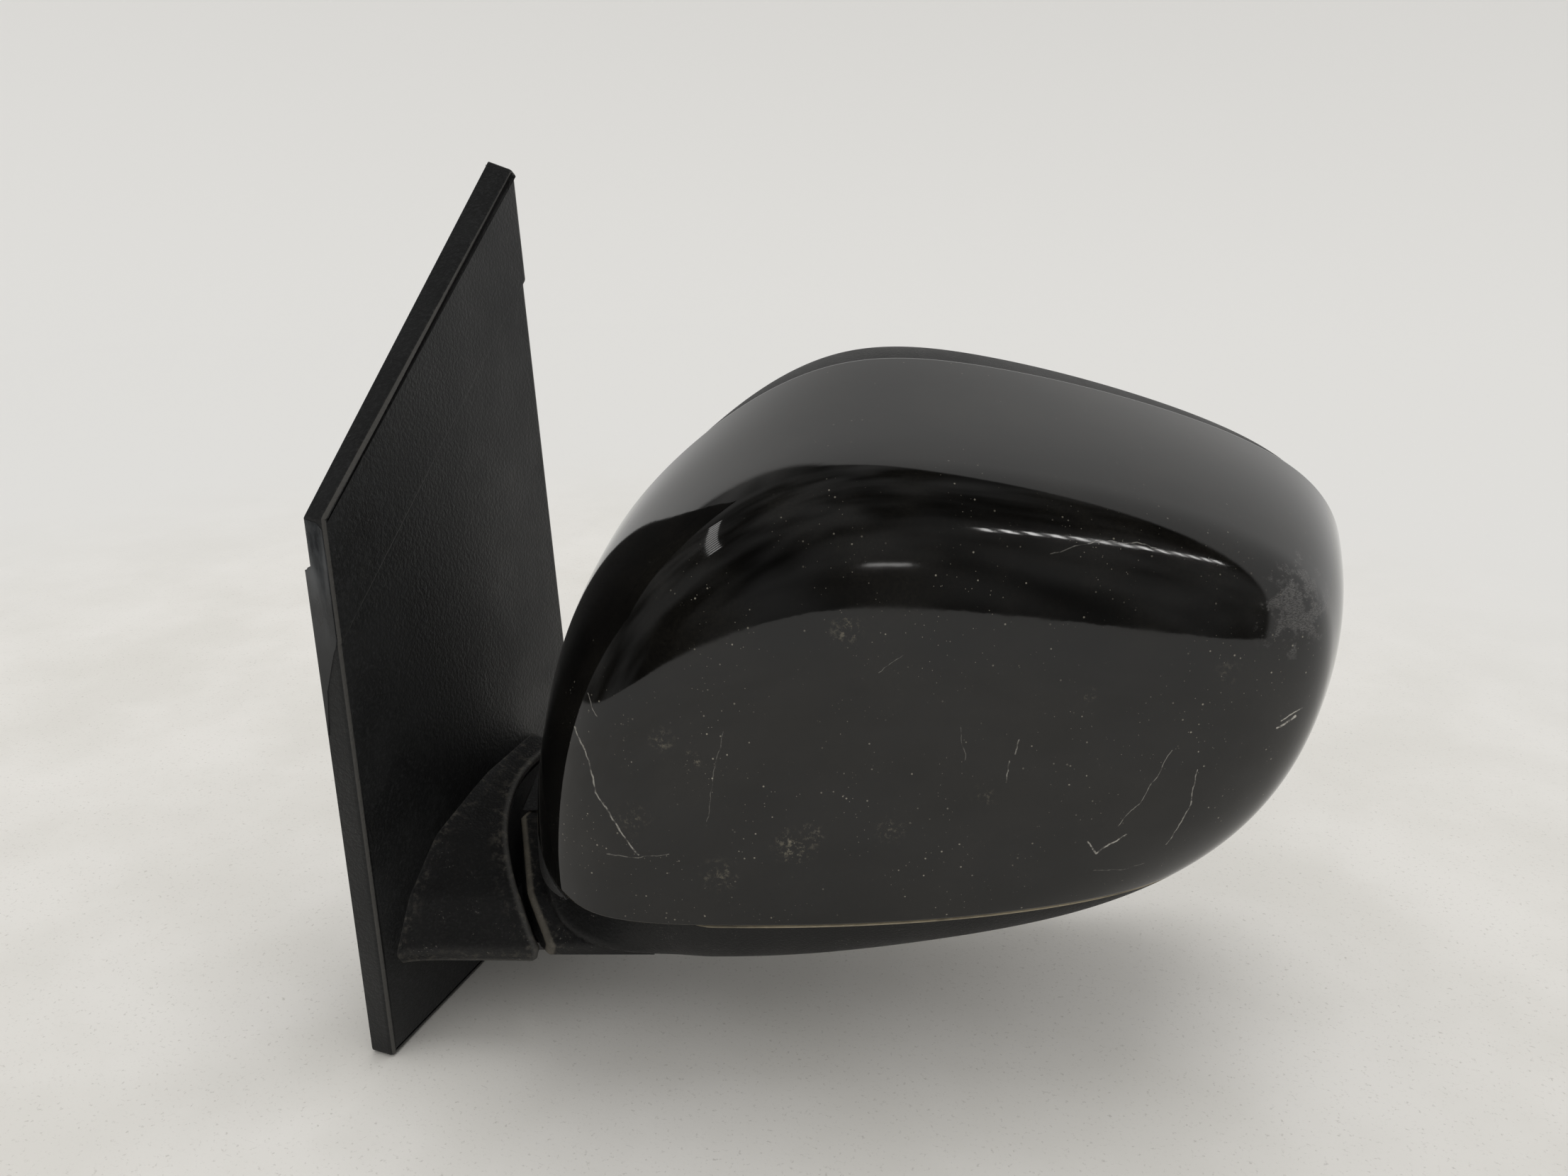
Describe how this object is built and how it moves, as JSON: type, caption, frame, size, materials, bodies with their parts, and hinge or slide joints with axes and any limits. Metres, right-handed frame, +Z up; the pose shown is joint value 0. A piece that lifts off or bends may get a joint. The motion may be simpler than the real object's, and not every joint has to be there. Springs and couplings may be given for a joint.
{
  "type": "door mirror",
  "caption": "Left-hand folding door mirror with a triangular sail plate, short arm, gloss front cap, textured lower shell and adjustable heated glass.",
  "frame": {"origin": "centre of the wiring outlet on the mounting face", "axes": "+X outboard from the door, +Y to the rear of the vehicle, +Z up"},
  "size_m": [0.2887, 0.1882, 0.262],
  "materials": {
    "textured_plastic": "black, fine moulded grain",
    "bezel_plastic": "black, fine moulded grain",
    "gloss_paint": "gloss black paint, dusty and scratched",
    "cast_frame": "die-cast, painted black",
    "foam": "closed-cell foam",
    "zinc_steel": "zinc plated",
    "rubber": "matte",
    "sintered_steel": "sintered",
    "acetal": "natural acetal",
    "spring_steel": "oiled spring wire",
    "filled_nylon": "glass-filled nylon",
    "motor_steel": "drawn steel can",
    "brass": "plain",
    "mirror_coat": "silvered glass",
    "heater_film": "printed film",
    "lens_clear": "smoked clear plastic",
    "bulb_glass": "clear"
  },
  "bodies": {
    "base": {"sail_cover": "textured_plastic", "base_frame": "cast_frame", "door_gasket": "foam", "mounting_studs": "zinc_steel", "cable_grommet": "rubber", "cover_screws": "zinc_steel", "pivot_post": "zinc_steel", "detent_ring_fixed": "zinc_steel", "spring_washer": "zinc_steel", "retaining_ring": "zinc_steel"},
    "head": {"cap": "gloss_paint", "lower_housing": "textured_plastic", "lamp_lens": "lens_clear", "rear_housing": "bezel_plastic", "head_frame": "filled_nylon", "frame_screws": "zinc_steel", "actuator_back": "filled_nylon", "actuator_front": "filled_nylon", "actuator_screws": "zinc_steel", "pan_motor": "motor_steel", "tilt_motor": "motor_steel", "lamp_housing": "filled_nylon", "lamp_bulb": "bulb_glass", "pivot_bush": "acetal", "detent_ring_moving": "sintered_steel", "fold_spring": "spring_steel"},
    "gimbal": {"gimbal_ring": "acetal"},
    "glass": {"mirror_glass": "mirror_coat", "heater_pad": "heater_film", "glass_carrier": "filled_nylon", "heater_terminals": "brass"},
    "pan_plunger_body": {"pan_plunger": "acetal"},
    "tilt_plunger_body": {"tilt_plunger": "acetal"},
    "pan_gear_body": {"pan_gear": "acetal"},
    "tilt_gear_body": {"tilt_gear": "acetal"},
    "pan_worm_body": {"pan_worm": "brass"},
    "tilt_worm_body": {"tilt_worm": "brass"}
  },
  "joints": [
    {"name": "head_fold", "type": "hinge", "parent": "base", "child": "head", "pos_m": [0.077, 0.015, 0], "axis": [0, 0, 1], "range_deg": [-45, 65]},
    {"name": "glass_pan", "type": "hinge", "parent": "head", "child": "gimbal", "pos_m": [0.16685, 0.06587, 0.024], "axis": [0, 0, 1], "range_deg": [-6, 6]},
    {"name": "glass_tilt", "type": "hinge", "parent": "gimbal", "child": "glass", "pos_m": [0.16685, 0.06587, 0.024], "axis": [0.9361, 0.3518, 0], "range_deg": [-6, 6]},
    {"name": "pan_plunger_slide", "type": "slide", "parent": "head", "child": "pan_plunger_body", "axis": [-0.3518, 0.9361, 0], "range_m": [-0.00278, 0.00278]},
    {"name": "tilt_plunger_slide", "type": "slide", "parent": "head", "child": "tilt_plunger_body", "axis": [-0.3518, 0.9361, 0], "range_m": [-0.00278, 0.00278]},
    {"name": "pan_gear_turn", "type": "hinge", "parent": "head", "child": "pan_gear_body", "pos_m": [0.19119, 0.07501, 0.024], "axis": [-0.3518, 0.9361, 0], "range_deg": [-165, 165]},
    {"name": "tilt_gear_turn", "type": "hinge", "parent": "head", "child": "tilt_gear_body", "pos_m": [0.16685, 0.06587, 0.05], "axis": [-0.3518, 0.9361, 0], "range_deg": [-165, 165]},
    {"name": "pan_worm_turn", "type": "hinge", "parent": "head", "child": "pan_worm_body", "pos_m": [0.18873, 0.04418, 0.023], "axis": [0, 0, 1], "range_deg": [-3300, 3300]},
    {"name": "tilt_worm_turn", "type": "hinge", "parent": "head", "child": "tilt_worm_body", "pos_m": [0.17576, 0.0393, 0.03685], "axis": [0.9361, 0.3518, 0], "range_deg": [-3300, 3300]}
  ],
  "couplings": [
    {"joint": "pan_plunger_slide", "follows": "glass_pan", "m_per_rad": 0.026},
    {"joint": "tilt_plunger_slide", "follows": "glass_tilt", "m_per_rad": -0.026},
    {"joint": "pan_gear_turn", "follows": "glass_pan", "ratio": 27.227},
    {"joint": "tilt_gear_turn", "follows": "glass_tilt", "ratio": -27.227},
    {"joint": "pan_worm_turn", "follows": "glass_pan", "ratio": 544.54},
    {"joint": "tilt_worm_turn", "follows": "glass_tilt", "ratio": -544.54}
  ]
}
